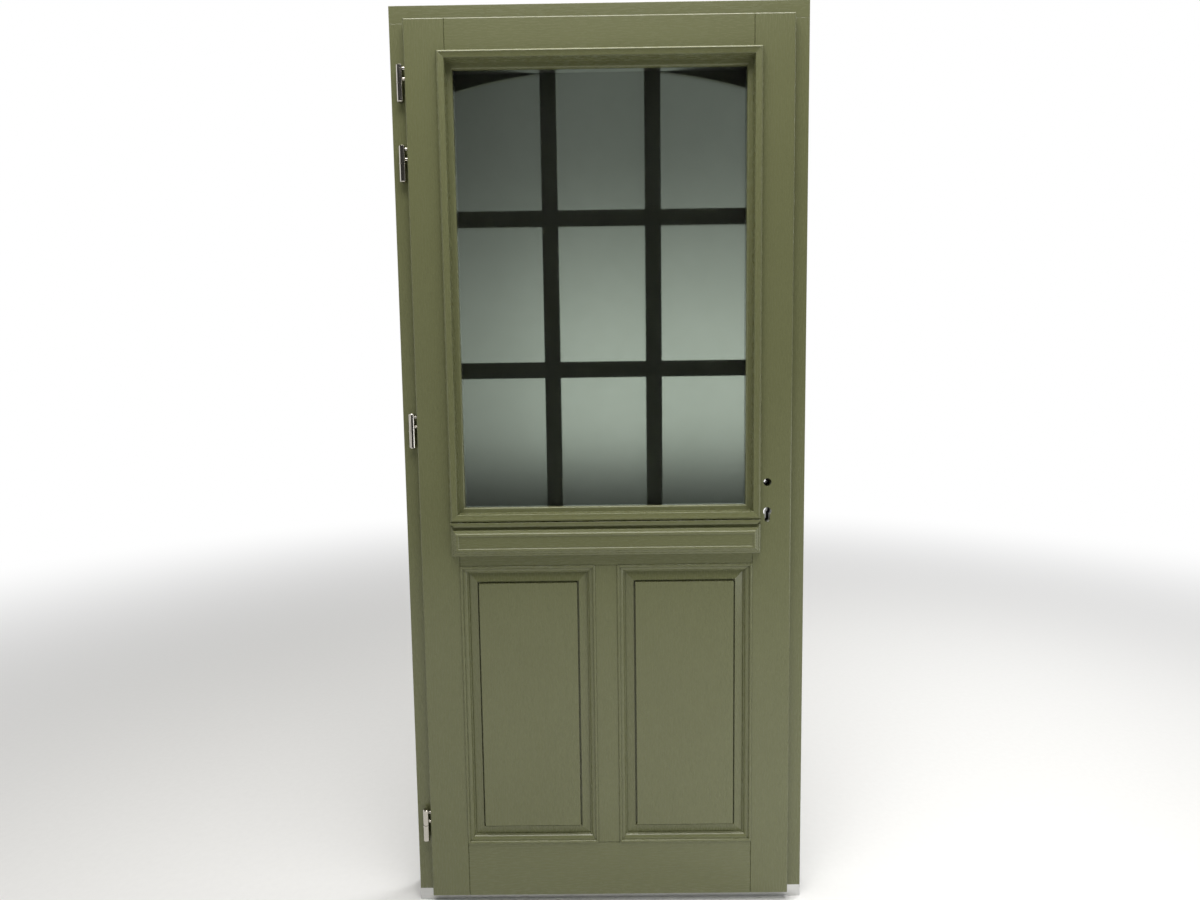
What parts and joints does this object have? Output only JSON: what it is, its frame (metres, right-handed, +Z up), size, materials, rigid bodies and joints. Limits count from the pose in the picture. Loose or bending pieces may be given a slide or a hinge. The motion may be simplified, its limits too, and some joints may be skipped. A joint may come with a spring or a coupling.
{
  "type": "glazed entrance door",
  "caption": "Painted wooden entrance door in its frame, with a glazed upper part behind arched glazing bars, raised lower panels and a mortise lock.",
  "frame": {"origin": "mid-width and mid-depth of the frame, on the underside of the threshold", "axes": "+X to the lock side as seen from the room, +Y outdoors, +Z up"},
  "size_m": [0.96, 0.132, 2.16],
  "materials": {
    "olive_paint": "satin paint",
    "clear_glass": "polished",
    "obscure_glass": "granular",
    "spacer_aluminium": "matt",
    "threshold_aluminium": "anodised",
    "black_plastic": "matt",
    "seal_rubber": "matt",
    "lock_steel": "zinc",
    "hinge_steel": "nickel"
  },
  "bodies": {
    "frame": {"frame_head": "olive_paint", "frame_jamb_left": "olive_paint", "frame_jamb_right": "olive_paint", "threshold": "threshold_aluminium", "threshold_break": "black_plastic", "weather_seal": "seal_rubber", "strike_plate": "lock_steel", "hinge_pins": "hinge_steel", "hinge_washers": "hinge_steel", "hinge_1_frame_half": "hinge_steel", "hinge_2_frame_half": "hinge_steel", "hinge_3_frame_half": "hinge_steel", "hinge_4_frame_half": "hinge_steel"},
    "leaf": {"stile_left": "olive_paint", "stile_right": "olive_paint", "top_rail": "olive_paint", "lock_rail": "olive_paint", "bottom_rail": "olive_paint", "muntin": "olive_paint", "panel_left": "olive_paint", "panel_right": "olive_paint", "lock_rail_moulding": "olive_paint", "weather_board": "olive_paint", "arched_head": "olive_paint", "panel_left_moulding_left": "olive_paint", "panel_left_moulding_right": "olive_paint", "panel_left_moulding_bottom": "olive_paint", "panel_left_moulding_top": "olive_paint", "panel_right_moulding_left": "olive_paint", "panel_right_moulding_right": "olive_paint", "panel_right_moulding_bottom": "olive_paint", "panel_right_moulding_top": "olive_paint", "panel_left_outer_mouldings": "olive_paint", "panel_right_outer_mouldings": "olive_paint", "glazing_bead_left": "olive_paint", "glazing_bead_right": "olive_paint", "glazing_bead_bottom": "olive_paint", "glazing_bead_top": "olive_paint", "outer_stop_left": "olive_paint", "outer_stop_right": "olive_paint", "outer_stop_bottom": "olive_paint", "glazing_bar_left": "olive_paint", "glazing_bar_right": "olive_paint", "glazing_bar_lower": "olive_paint", "glazing_bar_upper": "olive_paint", "glass_inner": "clear_glass", "glass_outer": "obscure_glass", "glass_spacer": "spacer_aluminium", "bottom_seal": "seal_rubber", "lock_case": "lock_steel", "faceplate": "lock_steel", "hinge_1_leaf_half": "hinge_steel", "hinge_2_leaf_half": "hinge_steel", "hinge_3_leaf_half": "hinge_steel", "hinge_4_leaf_half": "hinge_steel"},
    "follower": {"follower": "lock_steel"},
    "latch": {"latch_bolt": "lock_steel"},
    "deadbolt": {"deadbolt": "lock_steel"}
  },
  "joints": [
    {"name": "leaf_swing", "type": "hinge", "parent": "frame", "child": "leaf", "pos_m": [-0.4565, -0.0425, 1], "axis": [0, 0, -1], "range_deg": [0, 170]},
    {"name": "follower_turn", "type": "hinge", "parent": "leaf", "child": "follower", "pos_m": [0.387, -0.022, 1.059], "axis": [0, 1, 0], "range_deg": [0, 40]},
    {"name": "latch_slide", "type": "slide", "parent": "leaf", "child": "latch", "axis": [1, 0, 0], "range_m": [0, 0.012]},
    {"name": "deadbolt_slide", "type": "slide", "parent": "leaf", "child": "deadbolt", "axis": [1, 0, 0], "range_m": [0, 0.02]}
  ],
  "couplings": [
    {"joint": "latch_slide", "follows": "follower_turn", "m_per_rad": 0.01703}
  ]
}
